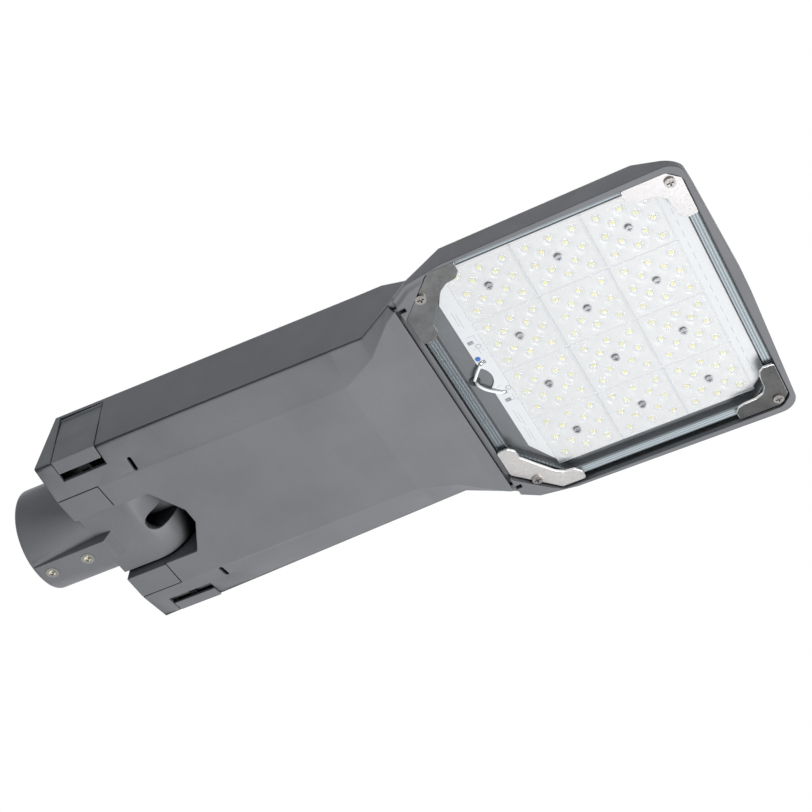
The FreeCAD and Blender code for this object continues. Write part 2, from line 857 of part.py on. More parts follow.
def hinge_cuts():
    """Sockets for the cover's two hinge barrels, ways for their arms and holes for their pins."""
    cuts = []
    for side, towards in (("", "+Y"), ("-", "-Y")):
        start = f"{side}(hinge_inner - 0.4)"
        cuts.append(rod(f"hinge_socket{towards}", ("hinge_reach", start, "hinge_level"), towards,
                        "hinge_socket", "hinge_outer - hinge_inner + 0.8"))
        low, high = sorted_sides(side, "hinge_inner - 0.4", "hinge_outer + 0.4")
        cuts.append(box(f"hinge_way{towards}", ("window_rear - 5.5", low, "-60"),
                        ("hinge_reach", high, "hinge_level + 1")))
        cuts.append(box(f"hinge_swing{towards}", ("hinge_reach - 1", low, "-60"),
                        ("hinge_reach + 2.6", high, "hinge_level - hinge_barrel + 1")))
        pin_start = ("hinge_reach", f"{side}(hinge_inner - 3.1)", "hinge_level")
        cuts.append(rod(f"hinge_pin_hole{towards}", pin_start, towards, "hinge_pin_radius + 0.02",
                        "hinge_outer - hinge_inner + 7.2"))
    return cuts


def sorted_sides(side, near, far):
    """The lower and the higher of two distances from the middle, on one side."""
    return (near, far) if side == "" else (f"-({far})", f"-({near})")


def latch_cuts():
    """Recesses in the side walls for the latches, and holes for their pins."""
    cuts = []
    for side, towards in (("", "+Y"), ("-", "-Y")):
        low, high = sorted_sides(side, "latch_back", "outline_reach")
        cuts.append(box(f"latch_recess{towards}", ("latch_start - latch_gap", low, "-60"),
                        ("latch_end + latch_gap", high, "latch_pin_level + latch_barrel + latch_gap")))
        low, high = sorted_sides(side, "latch_wall_half - 1", "latch_back + 1")
        cuts.append(box(f"catch_way{towards}", ("latch_start - latch_gap", low, "-60"),
                        ("latch_end + latch_gap", high, "catch_level + catch_thick + 1.7")))
        cuts.append(rod(f"latch_pin_hole{towards}", ("latch_start - 3.1", f"{side}latch_pin_half",
                                                     "latch_pin_level"),
                        "+X", "latch_pin_radius + 0.02", "latch_end - latch_start + 6.2"))
    return cuts


def upper_housing():
    rods = [rod(f"tray_boss_{number}", (x, y, "tray_level + tray_thick"), "+Z", "5",
                "crown_level - tray_level - tray_thick - 1")
            for number, (x, y) in enumerate(tray_places())]
    bosses = common("tray_bosses", fuse("boss_rods", *rods), roof("boss_roof", size("shell_wall") / 2))
    flange = gear_ring("gasket_flange", 6, 8, "2.5", "8")
    whole = fuse("housing_filled", housing_shell(), flange, bosses)
    bolt_hole = rod("ear_hole", ("pivot_reach", "-ear_half - 1", "0"), "+Y",
                    "bolt_radius + hole_clearance", "2 * ear_half + 2")
    gland_hole = rod("gland_hole", ("chamber_end - 1", "0", "0"), "+X",
                     "gland_radius + hole_clearance", "shell_wall + 2")
    tray_holes = [rod(f"tray_hole_{number}", (x, y, "tray_level"), "+Z", "screw_radius + hole_clearance",
                      "5.5") for number, (x, y) in enumerate(tray_places())]
    return cut("upper_housing", whole, *window_cuts(), *wire_duct(), *screw_holes(), *hinge_cuts(),
               *latch_cuts(), bolt_hole, gland_hole, *tray_holes)


# Gear cover: the facetted underside that hangs open on two barrels at the lamp end

def latch_notch(name, side):
    low, high = sorted_sides(side, "finger_slot", "outline_reach")
    return box(name, ("latch_start - latch_gap", low, "-60"), ("latch_end + latch_gap", high, "60"))


def drain_slot(side):
    """A slot with round ends through the cover's floor."""
    near, far = "vent_half - (vent_length - vent_width) / 2", "vent_half + (vent_length - vent_width) / 2"
    low, high = sorted_sides(side, near, far)
    middle = box(f"drain_slot{side}", ("vent_reach - vent_width / 2", low, "-60"),
                 ("vent_reach + vent_width / 2", high, "0"))
    ends = [rod(f"drain_slot_end{side}{number}", ("vent_reach", y, "-60"), "+Z", "vent_width / 2", "60")
            for number, y in enumerate((low, high))]
    return [middle, *ends]


def spigot_opening():
    """The cut-out that lets the spigot swing down."""
    half = [("rear_reach - 20", "opening_half"), ("opening_reach", "opening_half"),
            ("opening_reach + 2.5", "opening_half - 4"), ("opening_nose", "opening_nose_half")]
    return plate("spigot_opening", both_sides(half), "-60", "60")


def cover_hinge(side, towards):
    """A barrel on an arm, and the hole through it."""
    low, high = sorted_sides(side, "hinge_inner", "hinge_outer")
    barrel = rod(f"barrel{towards}", ("hinge_reach", f"{side}hinge_inner", "hinge_level"), towards,
                 "hinge_barrel", "hinge_outer - hinge_inner")
    arm = box(f"arm{towards}", ("window_rear - 5", low, "hinge_level - hinge_barrel"),
              ("hinge_reach", high, "hinge_level - 1"))
    root = box(f"arm_root{towards}", ("window_rear - 5", low, "border_level + skin / 2"),
               ("window_rear - 5 + hinge_arm_root", high, "hinge_level - 1"))
    hole = rod(f"barrel_hole{towards}", ("hinge_reach", f"{side}(hinge_inner - 1)", "hinge_level"), towards,
               "hinge_pin_radius + hole_clearance", "hinge_outer - hinge_inner + 2")
    return [barrel, arm, root], hole


def gear_cover():
    body = block("cover_outline", "0.2")
    front = box("cover_reach", ("0", "-outline_reach", "-60"), ("window_rear", "outline_reach", "0"))
    sheet_form = common("cover_form", belly_skin(size("skin")), body, front)
    wall_zone = cut("wall_zone", seam_slab("wall_zone_slab", 0, 40),
                    block("inside_walls", "shell_wall + 0.6"))
    pads = [box(f"pad_notch_{number}", ("rear_reach - 10", low, "-60"), ("ear_pad_end + 0.8", high, "0"))
            for number, (low, high) in enumerate((("opening_half - 1", "ear_half + 0.8"),
                                                  ("-ear_half - 0.8", "1 - opening_half")))]
    slots = [piece for side in ("", "-") for piece in drain_slot(side)]
    notches = [latch_notch(f"latch_notch{side}", side) for side in ("", "-")]
    relief = rod("hinge_relief", ("hinge_reach", "-outline_reach", "hinge_level"), "+Y", "hinge_relief",
                 "2 * outline_reach")
    skin = cut("cover_skin", sheet_form, wall_zone, spigot_opening(), rear_cut(), relief,
               *pads, *slots, *notches)
    right, right_hole = cover_hinge("", "+Y")
    left, left_hole = cover_hinge("-", "-Y")
    whole = fuse("cover_whole", skin, *ribs(), *catch_seats(), *right, *left)
    return cut("gear_cover", whole, right_hole, left_hole)


def ribs():
    """Stiffening ribs on the inside of the cover's flat floor."""
    return [box(f"rib_{number}", ("rib_start", f"{number} * rib_pitch - 0.8", "base_level + skin - 0.5"),
                ("ramp_start - 4", f"{number} * rib_pitch + 0.8", "base_level + skin + rib_height"))
            for number in (-1, 0, 1)]


def catch_seats():
    """Blocks on the inside of the cover that the catch springs are fixed to."""
    seats = []
    for side in ("", "-"):
        low, high = sorted_sides(side, "finger_slot - 9", "finger_slot - 1")
        seats.append(box(f"catch_seat{side}", ("catch_middle - catch_half", low, "catch_level - 3"),
                         ("catch_middle + catch_half", high, "catch_level")))
    return seats


def cover_gasket():
    ring = gear_ring("seal_ring", -4, 5.9, "4", "7.5")
    return cut("cover_gasket", ring, under_cover_skin("cover_fill", 0.12))


def hinge_pins():
    pins = [rod(f"hinge_pin{towards}", ("hinge_reach", f"{side}(hinge_inner - 3)", "hinge_level"), towards,
                "hinge_pin_radius", "hinge_outer - hinge_inner + 7")
            for side, towards in (("", "+Y"), ("-", "-Y"))]
    return group("cover_hinge_pins", *pins)


# Latches: a lever in each side wall whose lip closes under the cover's edge

def wall_half(level):
    """Half width of the drafted side wall at the latches."""
    middle = (size("latch_start") + size("latch_end")) / 2
    return seam_half(middle) - (level - size("rim_level")) * math.tan(math.radians(size("wall_draft")))


def latch(name):
    rear, middle = seam_half(size("latch_start")), wall_half(size("latch_crease"))
    body = doc.addObject("PartDesign::Body", name + "_lever")
    profile = [
        ("latch_pin_half + 1.2", "latch_pin_level"), (middle, "latch_crease"), (rear, "rear_seam + 0.3"),
        ("latch_lip", "rear_seam - 2.0"), ("latch_lip", "catch_level - 0.4"),
        ("latch_lip + 4", "catch_level - 0.4"),
        (f"{rear} - 4.2", "rear_seam + 2.4"), ("latch_back + 2.5", "latch_crease"),
        ("latch_back + 0.4", "latch_pin_level"),
    ]
    outline = polygon_sketch(body, name + "_profile", "YZ_Plane", profile, "latch_start")
    pad(body, outline, "latch_end - latch_start")
    barrel = rod(name + "_barrel", ("latch_start", "latch_pin_half", "latch_pin_level"), "+X",
                 "latch_barrel", "latch_end - latch_start")
    hole = rod(name + "_hole", ("latch_start - 1", "latch_pin_half", "latch_pin_level"), "+X",
               "latch_pin_radius + hole_clearance", "latch_end - latch_start + 2")
    return cut(name, fuse(name + "_solid", body, barrel), hole)


def latch_pins():
    pins = [rod(f"latch_pin_{number}", ("latch_start - 3", y, "latch_pin_level"), "+X", "latch_pin_radius",
                "latch_end - latch_start + 6")
            for number, y in enumerate(("latch_pin_half", "-latch_pin_half"))]
    return group("latch_pins", *pins)


def catch_springs():
    """Spring strips on the cover that snap over the latch lips."""
    strips = []
    for number, side in enumerate(("", "-")):
        low, high = sorted_sides(side, "finger_slot - 9", "latch_lip + 2.5")
        strips.append(box(f"catch_{number}", ("catch_middle - catch_half", low, "catch_level"),
                          ("catch_middle + catch_half", high, "catch_level + catch_thick")))
    return group("catch_springs", *strips)


# Corner clips, with wavy inner edges, and their screws

def rear_clip():
    half = [
        ("window_rear + 1.2", "clip_rear_y - 37"), ("glass_rear + 7.6", "clip_rear_y - 37"),
        ("glass_rear + 11.6", "clip_rear_y - 32.6"), ("glass_rear + 11.9", "clip_rear_y - 25"),
        ("clip_rear_x + 5.7", "clip_rear_y - 13"), ("clip_rear_x + 14.7", "clip_rear_y - 0.6"),
        ("clip_rear_x + 20.2", "clip_rear_y + 3.2"), ("clip_rear_x + 27.7", "clip_rear_y + 4.3"),
        ("clip_rear_x + 31.8", "clip_rear_y + 9.2"), ("clip_rear_x + 31.8", "window_half - 1.2"),
        ("window_cut_reach + 0.5", "window_half - 1.2"), ("window_rear + 1.2", "window_rear_half - 0.5"),
    ]
    return plate("rear_clip_plate", half, "clip_seat - clip_thick", "clip_thick", "2.2")


def front_clip():
    half = [
        ("window_tip - 0.8", "clip_front_y - 31.5"), ("window_tip - 8.6", "clip_front_y - 32"),
        ("window_tip - 12.2", "clip_front_y - 29.2"), ("window_tip - 13.8", "clip_front_y - 24"),
        ("window_tip - 14.4", "clip_front_y - 13.5"), ("clip_front_x - 8.6", "clip_front_y - 8.8"),
        ("clip_front_x - 14.2", "clip_front_y - 6.4"), ("clip_front_x - 23.4", "clip_front_y - 5.8"),
        ("clip_front_x - 28", "clip_front_y - 4.4"), ("clip_front_x - 31", "clip_front_y - 0.8"),
        ("clip_front_x - 31", "window_half - 1.1"), ("window_tip - window_tip_cut - 1", "window_half - 1.1"),
        ("window_tip - 0.8", "window_half - window_tip_cut - 1"),
    ]
    return plate("front_clip_plate", half, "clip_seat - clip_thick", "clip_thick", "1.6")


def corner_clips():
    clips = []
    for name, source, x, y in (("rear_clip", rear_clip(), "clip_rear_x", "clip_rear_y"),
                               ("front_clip", front_clip(), "clip_front_x", "clip_front_y")):
        hole = rod(name + "_hole", (x, y, "clip_seat - clip_thick - 1"), "+Z", "screw_radius + 0.2",
                   "clip_thick + 2")
        right = cut(name + "_right", source, hole)
        clips += [right, mirrored(name + "_left", right)]
    return clips


def cross_screw(name, x, y, head_level, radius, head, head_thick, length):
    """A cross-recessed screw driven upwards, its head facing down."""
    shank = rod(name + "_shank", (x, y, head_level), "+Z", radius, length)
    disc = rod(name + "_head", (x, y, f"{head_level} - {head_thick}"), "+Z", head, head_thick)
    bottom, top = f"{head_level} - {head_thick} - 1", f"{head_level} - 0.3 * {head_thick}"
    arms = []
    for number, (along, across) in enumerate(((0.62, 0.13), (0.13, 0.62))):
        arms.append(box(f"{name}_slot_{number}",
                        (f"{x} - {along} * {head}", f"{y} - {across} * {head}", bottom),
                        (f"{x} + {along} * {head}", f"{y} + {across} * {head}", top)))
    return cut(name, fuse(name + "_solid", shank, disc), *arms)


def clip_screws():
    screws = [cross_screw(f"clip_screw_{number}", x, y, "(clip_seat - clip_thick)", "screw_radius",
                          "screw_head", "screw_head_thick", "screw_length")
              for number, (x, y) in enumerate(clip_places())]
    return group("clip_screws", *screws)


# Lamp board, chips and lens tiles

BOARD_LOW = "(lamp_floor - board_thick)"


def led_board():
    board = plate("board_plate", board_outline(), BOARD_LOW, "board_thick", "2")
    under = BOARD_LOW + " - 1"
    notch = rod("wire_notch", ("wire_hole_reach", "0", under), "+Z", "wire_notch", "board_thick + 2")
    holes = [rod(f"board_hole_{number}", (x, y, under), "+Z", "tile_screw + 0.25", "board_thick + 2")
             for number, (x, y) in enumerate(tile_places())]
    return cut("led_board", board, notch, *holes)


def lens_spots():
    """Twelve places a sixth of a tile apart, in a checkerboard round the screw."""
    return [(i, j) for i in range(-2, 3) for j in range(-2, 3) if (i + j) % 2 == 0 and (i, j) != (0, 0)]


def lens_tile_form():
    """One tile about its own centre, its flat side at zero and its domes below."""
    half, thick = (size("tile_pitch") - size("tile_gap")) / 2, size("tile_thick")
    radius, height = size("dome_radius"), size("dome_height")
    ball = (radius ** 2 + height ** 2) / (2 * height)
    step = size("tile_pitch") / 6
    tile = Part.makeBox(2 * half, 2 * half, thick, FreeCAD.Vector(-half, -half, -thick))
    domes, rooms = [], []
    for i, j in lens_spots():
        place_x, place_y = i * step, j * step
        sphere = Part.makeSphere(ball, FreeCAD.Vector(place_x, place_y, ball - height - thick))
        below = Part.makeBox(2 * ball, 2 * ball, 2 * ball,
                             FreeCAD.Vector(place_x - ball, place_y - ball, -2 * ball - thick + 0.4))
        domes.append(sphere.common(below))
        rooms.append(Part.makeCylinder(size("chip_room"), 1.2, FreeCAD.Vector(place_x, place_y, -1.2)))
    rooms.append(Part.makeCylinder(size("tile_screw") + 0.25, thick + 2, FreeCAD.Vector(0, 0, -thick - 1)))
    return tile.multiFuse(domes).removeSplitter().cut(Part.makeCompound(rooms))


def lens_tiles():
    form = lens_tile_form()
    tiles = []
    for number, (x, y) in enumerate(tile_places(), start=1):
        tile = shape_object(f"lens_tile_{number}", form.copy())
        place(tile, x, y, BOARD_LOW)
        tiles.append(tile)
    return tiles


def led_chips():
    half, thick = size("chip_side") / 2, size("chip_thick")
    level = size("lamp_floor") - size("board_thick") - thick
    step = size("tile_pitch") / 6
    chips = []
    for x, y in tile_places():
        for i, j in lens_spots():
            corner = FreeCAD.Vector(present(x) + i * step - half, present(y) + j * step - half, level)
            chips.append(Part.makeBox(2 * half, 2 * half, thick, corner))
    return shape_object("led_chips", Part.makeCompound(chips))


def tile_screws():
    screws = [cross_screw(f"tile_screw_{number}", x, y, f"({BOARD_LOW} - tile_thick)", "tile_screw",
                          "2 * tile_screw", "1.4", "board_thick + tile_thick + 3")
              for number, (x, y) in enumerate(tile_places())]
    return group("tile_screws", *screws)


# Wires from the lamp board through the grommet to the driver

def tube_along(name, points, radius):
    """A round wire along straight runs joined by tangent arcs."""
    corners = [FreeCAD.Vector(*point) for point in points]
    edges, start, radii = [], corners[0], []
    for before, corner, after in zip(corners, corners[1:], corners[2:]):
        inward, outward = corner - before, after - corner
        turn = inward.getAngle(outward)
        arc_radius = 0.45 * min(inward.Length, outward.Length) / math.tan(turn / 2)
        reach = arc_radius * math.tan(turn / 2)
        enter = corner - inward.normalize() * reach
        leave = corner + outward.normalize() * reach
        towards = (leave - corner).normalize() - (corner - enter).normalize()
        centre = corner + towards.normalize() * (arc_radius / math.cos(turn / 2))
        middle = centre + (corner - centre).normalize() * arc_radius
        edges += [Part.LineSegment(start, enter).toShape(), Part.Arc(enter, middle, leave).toShape()]
        start = leave
        radii.append(arc_radius)
    edges.append(Part.LineSegment(start, corners[-1]).toShape())
    path = Part.Wire(edges)
    circle = Part.Circle(corners[0], corners[1] - corners[0], radius)
    tube = path.makePipeShell([Part.Wire(circle.toShape())], True, True)
    print(name, "length", round(path.Length, 1), "least radius", round(min(radii), 1),
          "volume share", round(tube.Volume / (math.pi * radius ** 2 * path.Length), 4))
    return shape_object(name, tube)


def led_wires():
    """Two wires soldered to the board, lying over its edge and into the grommet."""
    radius = size("wire_radius")
    board = size("lamp_floor") - size("board_thick")
    hole, duct = size("wire_hole_reach"), size("wire_duct_level")
    driver = size("driver_start") + size("driver_length")
    plug_level = size("tray_level") - size("driver_thick") / 2
    inside = [(hole, 1.4, duct - 3.6), (hole - 5.5, 1.6, duct), (hole - 18, 2.4, duct + 0.4),
              (driver + 8, 9, plug_level), (driver, 9, plug_level)]
    near = [(366.5, -13.2, board - radius), (362.6, -9.8, board - radius - 1.2),
            (359, -5.4, board - radius - 1.8), (hole + 0.2, -1.6, board - 0.4)]
    near += [(x, -y, z) for x, y, z in inside]
    far = [(370, 17.4, board - radius), (365.4, 12.6, board - radius - 1.2),
           (360.4, 6.6, board - radius - 1.8), (hole + 0.2, 1.6, board - 0.4)] + inside
    return [tube_along("led_wire_minus", near, radius), tube_along("led_wire_plus", far, radius)]


def wire_grommet():
    sleeve = rod("grommet_sleeve", ("wire_hole_reach", "0", "lamp_floor - 1.2"), "+Z", "wire_hole - 0.1", "4")
    flange = rod("grommet_flange", ("wire_hole_reach", "0", "lamp_floor - 1.2"), "+Z", "wire_hole + 0.3",
                 "1.2")
    hole = box("grommet_hole", ("wire_hole_reach - 1.4", "-2.9", "lamp_floor - 2"),
               ("wire_hole_reach + 1.4", "2.9", "lamp_floor + 4"))
    return cut("wire_grommet", fuse("grommet_solid", sleeve, flange), hole)


# Gear compartment: tray, driver, surge protector, terminal block and cable gland

def gear_tray():
    plate_form = box("tray_plate", ("tray_start", "-tray_half", "tray_level"),
                     ("tray_end", "tray_half", "tray_level + tray_thick"))
    lips = [box(f"tray_lip_{number}", ("tray_start + 20", low, "tray_level - tray_lip"),
                ("tray_end - 20", high, "tray_level + tray_thick"))
            for number, (low, high) in enumerate((("tray_half - tray_thick", "tray_half"),
                                                  ("-tray_half", "tray_thick - tray_half")))]
    holes = [rod(f"tray_screw_hole_{number}", (x, y, "tray_level - 1"), "+Z", "screw_radius + 0.2",
                 "tray_thick + 2")
             for number, (x, y) in enumerate(tray_places())]
    return cut("gear_tray", fuse("tray_solid", plate_form, *lips), *holes)


def tray_screws():
    screws = [cross_screw(f"tray_screw_{number}", x, y, "tray_level", "screw_radius", "screw_head",
                          "screw_head_thick", "5")
              for number, (x, y) in enumerate(tray_places())]
    return group("tray_screws", *screws)


def led_driver():
    driver_end = "driver_start + driver_length"
    case = plate("driver_case", [("driver_start", "-driver_half"), (driver_end, "-driver_half"),
                                 (driver_end, "driver_half"), ("driver_start", "driver_half")],
                 "tray_level - driver_thick", "driver_thick", "4")
    ears = [box(f"driver_ear_{number}", (low, "-driver_half + 6", "tray_level - 3"),
                (high, "driver_half - 6", "tray_level"))
            for number, (low, high) in enumerate((("driver_start - 9", "driver_start + 5"),
                                                  ("driver_start + driver_length - 5",
                                                   "driver_start + driver_length + 5")))]
    holes = [rod(f"driver_hole_{number}", ("driver_start - 5", y, "tray_level - 8"), "+Z",
                 "screw_radius + 0.3", "20") for number, y in enumerate(("15", "-15"))]
    return cut("led_driver", fuse("driver_solid", case, *ears), *holes)


def driver_screws():
    screws = [cross_screw(f"driver_screw_{number}", "(driver_start - 5)", y, "(tray_level - 3)",
                          "screw_radius - 0.5", "screw_head - 1", "screw_head_thick", "3")
              for number, y in enumerate(("15", "(-15)"))]
    return group("driver_screws", *screws)


def surge_protector():
    low = "driver_half + 4"
    return plate("surge_protector", [("surge_start", low), ("surge_start + surge_length", low),
                                     ("surge_start + surge_length", f"{low} + surge_width"),
                                     ("surge_start", f"{low} + surge_width")],
                 "tray_level - surge_thick", "surge_thick", "3")


def terminal_block():
    """Three poles in a row, each with a wire mouth and a clamp screw well."""
    start, length = "terminal_start", "terminal_length"
    low = "terminal_side"
    block_form = box("terminal_body", (start, low, "tray_level - terminal_thick"),
                     (f"{start} + terminal_width", f"{low} + {length}", "tray_level"))
    wells = []
    for number in range(3):
        y = f"{low} + ({number} + 0.5) * {length} / 3"
        mouth = (f"{start} + terminal_width / 2", y, "tray_level - terminal_thick - 1")
        wells.append(rod(f"terminal_well_{number}", mouth, "+Z", "2.4", "7"))
        for face, x in (("rear", f"{start} - 1"), ("front", f"{start} + terminal_width - 6")):
            wells.append(rod(f"terminal_{face}_{number}", (x, y, "tray_level - terminal_thick / 2 - 1"),
                             "+X", "2.2", "7"))
    return cut("terminal_block", block_form, *wells)


def cable_gland():
    """Gland through the chamber wall, its hexagon in the knuckle chamber."""
    collar = hexagon("gland_collar", ("chamber_end", "0", "0"), "-X", "gland_nut", "4")
    sleeve = rod("gland_sleeve", ("chamber_end - 4", "0", "0"), "+X", "gland_radius", "18")
    bore = rod("gland_bore", ("chamber_end - 5", "0", "0"), "+X", "0.45 * gland_radius", "30")
    return cut("cable_gland", fuse("gland_solid", collar, sleeve), bore)


def gland_nut():
    nut = hexagon("gland_nut_body", ("chamber_end + shell_wall", "0", "0"), "+X", "gland_nut", "5")
    hole = rod("gland_nut_hole", ("chamber_end + shell_wall - 1", "0", "0"), "+X",
               "gland_radius + hole_clearance", "8")
    return cut("gland_nut", nut, hole)


def cable_clamp():
    """Saddle that holds the mains cable's jacket to the tray."""
    saddle = box("clamp_saddle", ("tray_start + 2", "terminal_side + terminal_length + 3", "tray_level - 10"),
                 ("tray_start + 14", "terminal_side + terminal_length + 31", "tray_level"))
    way = rod("clamp_way", ("tray_start", "terminal_side + terminal_length + 17", "tray_level"), "+X",
              "6", "20")
    return cut("cable_clamp", saddle, way)


# Everything is built, checked and written

def build():
    parts = [spigot(), grub_screws(), pivot_bolt(), pivot_nut(), tilt_washers(), upper_housing(), gear_cover(),
             cover_gasket(), hinge_pins(), latch_pins(), catch_springs(), front_glass(), glass_gasket(),
             clip_screws(), led_board(), led_chips(), tile_screws(), wire_grommet(), gear_tray(), tray_screws(),
             led_driver(), driver_screws(), surge_protector(), terminal_block(), cable_gland(), gland_nut(),
             cable_clamp()]
    right = latch("latch_right")
    parts += [right, mirrored("latch_left", right)]
    parts += corner_clips() + lens_tiles() + led_wires()
    doc.recompute()
    for item in doc.Objects:
        if "Invalid" in item.State or "Error" in item.State:
            raise ValueError(f"{item.Label} failed: {item.State}")
    for item in parts:
        if item.Shape.isNull() or not item.Shape.isValid() or not item.Shape.Solids:
            raise ValueError(f"{item.Label} has no valid solid")
    return parts


def write(parts):
    os.makedirs("parts", exist_ok=True)
    for item in parts:
        item.Shape.exportStep(f"parts/{item.Label}.step")


write(build())
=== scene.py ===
import json
import math

import bmesh
import bpy
from mathutils import Matrix, Vector


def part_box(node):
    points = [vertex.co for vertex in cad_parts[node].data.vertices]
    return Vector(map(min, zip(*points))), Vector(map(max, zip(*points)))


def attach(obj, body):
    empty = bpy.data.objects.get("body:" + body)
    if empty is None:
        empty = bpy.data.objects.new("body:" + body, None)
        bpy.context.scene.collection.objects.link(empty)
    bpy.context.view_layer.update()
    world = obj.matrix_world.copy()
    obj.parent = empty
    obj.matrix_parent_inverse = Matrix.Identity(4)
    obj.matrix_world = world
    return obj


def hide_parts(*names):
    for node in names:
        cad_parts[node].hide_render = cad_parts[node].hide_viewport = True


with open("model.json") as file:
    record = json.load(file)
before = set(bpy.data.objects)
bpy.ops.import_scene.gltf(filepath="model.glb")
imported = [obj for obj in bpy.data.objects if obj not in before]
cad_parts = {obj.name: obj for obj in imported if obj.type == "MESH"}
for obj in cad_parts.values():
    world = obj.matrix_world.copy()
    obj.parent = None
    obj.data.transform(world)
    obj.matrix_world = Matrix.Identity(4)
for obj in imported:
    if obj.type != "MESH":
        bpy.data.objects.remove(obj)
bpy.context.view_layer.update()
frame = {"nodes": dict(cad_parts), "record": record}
nodes = frame["nodes"]
MM = 0.001

# The board, its LEDs, its lens tiles and its prints, in millimetres
BOARD_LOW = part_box("led_board")[0].z / MM
BOARD_REAR, BOARD_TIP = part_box("led_board")[0].x / MM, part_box("led_board")[1].x / MM
TILE_PITCH, TILE_CENTRE = 50.0, 452.0
TILE_ROWS, TILE_COLUMNS = (-1, 0, 1), (-1.5, -0.5, 0.5, 1.5)
LENS_STEP = TILE_PITCH / 6
CHIP_SIDE, CHIP_THICK = 3.0, 0.7
PHOSPHOR_RADIUS, PHOSPHOR_THICK = 1.2, 0.06
# Strips of painted shade along the tile seams: width, inset from the tile's edge and depths below the board
SEAM_SHADE_WIDTH, SEAM_SHADE_INSET, SEAM_SHADE_LOW, SEAM_SHADE_HIGH = 0.26, 0.75, 1.86, 1.8
PRINT_THICK, DOT_THICK = 0.04, 0.5
DASH_INSET, DASH_PITCH, DASH_WIDTH, DASH_LENGTH = 7.6, 10.4, 0.35, 5.6
LINE_WIDTH, LINE_LENGTH = 0.3, 14
SOLDER_RADIUS, SOLDER_FLATNESS, SOLDER_DEPTH = 1.7, 0.55, 0.4

# The lamp room behind the glass and the ribs of its seal, in millimetres
LAMP_ROOM_TOP = -13.5
SEAL_RIB_PITCH = 2.1


# Shader helpers

def new_material(name):
    material = bpy.data.materials.new(name)
    material.use_nodes = True
    tree = material.node_tree
    return material, tree, tree.nodes["Principled BSDF"]


def coordinates(tree):
    return tree.nodes.new("ShaderNodeTexCoord").outputs["Object"]


def noise(tree, scale, detail, roughness=0.5, stretch=None):
    """A noise pattern in the object's own coordinates, stretched if it is given three factors."""
    node = tree.nodes.new("ShaderNodeTexNoise")
    node.inputs["Scale"].default_value = scale
    node.inputs["Detail"].default_value = detail
    node.inputs["Roughness"].default_value = roughness
    place = coordinates(tree)
    if stretch:
        mapping = tree.nodes.new("ShaderNodeMapping")
        mapping.inputs["Scale"].default_value = stretch
        tree.links.new(place, mapping.inputs["Vector"])
        place = mapping.outputs["Vector"]
    tree.links.new(place, node.inputs["Vector"])
    return node.outputs["Fac"]


def ramp(tree, fac, stops):
    node = tree.nodes.new("ShaderNodeValToRGB")
    elements = node.color_ramp.elements
    while len(elements) < len(stops):
        elements.new(0.5)
    for element, (place, colour) in zip(elements, stops):
        element.position = place
        element.color = (*colour, 1)
    tree.links.new(fac, node.inputs["Fac"])
    return node.outputs["Color"]


def math_node(tree, operation, *values):
    node = tree.nodes.new("ShaderNodeMath")
    node.operation = operation
    for socket, value in zip(node.inputs, values):
        if isinstance(value, (int, float)):
            socket.default_value = value
        else:
            tree.links.new(value, socket)
    return node.outputs["Value"]


def multiplied(tree, first, second):
    node = tree.nodes.new("ShaderNodeMix")
    node.data_type = "RGBA"
    node.blend_type = "MULTIPLY"
    node.inputs["Factor"].default_value = 1.0
    tree.links.new(first, node.inputs["A"])
    tree.links.new(second, node.inputs["B"])
    return node.outputs["Result"]


def painted_crevice_shade(tree, distance, dark, low=0.05, high=0.48):
    """A factor of painted shade, from ambient occlusion, that falls to dark in gaps, slots and recesses."""
    node = tree.nodes.new("ShaderNodeAmbientOcclusion")
    node.samples = 6
    node.inputs["Distance"].default_value = distance
    return ramp(tree, node.outputs["AO"], [(low, grey(dark)), (high, grey(1.0))])


def rounded_normal(tree, radius):
    """Normals that turn over every edge, as on a casting."""
    node = tree.nodes.new("ShaderNodeBevel")
    node.samples = 6
    node.inputs["Radius"].default_value = radius
    return node.outputs["Normal"]


def grey(value):
    return (value, value, value)


def scaled(colour, factor):
    return tuple(channel * factor for channel in colour)


def bump(tree, shader, height, strength, distance, before=None):
    node = tree.nodes.new("ShaderNodeBump")
    node.inputs["Strength"].default_value = strength
    node.inputs["Distance"].default_value = distance
    tree.links.new(height, node.inputs["Height"])
    if before is not None:
        tree.links.new(before, node.inputs["Normal"])
    tree.links.new(node.outputs["Normal"], shader.inputs["Normal"])
    return node.outputs["Normal"]


# Materials

def powder_coat(name, colour, shade_crevices=True):
    """Textured powder coat: a fine grain, a faint cloudiness and, outside the lamp room, painted shade in its
    gaps and hollows.
    """
    material, tree, shader = new_material(name)
    cloud = ramp(tree, noise(tree, 22, 4), [(0.3, scaled(colour, 0.94)), (0.7, scaled(colour, 1.06))])
    speck = ramp(tree, noise(tree, 900, 2), [(0.3, grey(0.93)), (0.7, grey(1.0))])
    base = multiplied(tree, cloud, speck)
    if shade_crevices:
        # Painted shade: the colour turns darker in gaps and in deep hollows, where shade falls
        narrow = painted_crevice_shade(tree, distance=0.010, dark=0.10)
        wide = painted_crevice_shade(tree, distance=0.060, dark=0.02, low=0.22, high=0.42)
        base = multiplied(tree, base, multiplied(tree, narrow, wide))
    tree.links.new(base, shader.inputs["Base Color"])
    rough = ramp(tree, noise(tree, 60, 2), [(0.3, grey(0.42)), (0.7, grey(0.52))])
    tree.links.new(rough, shader.inputs["Roughness"])
    shader.inputs["Specular IOR Level"].default_value = 0.3
    grain = bump(tree, shader, noise(tree, 1300, 2), 0.16, 0.0003, rounded_normal(tree, 0.0012))
    bump(tree, shader, noise(tree, 90, 3), 0.05, 0.0008, grain)
    return material


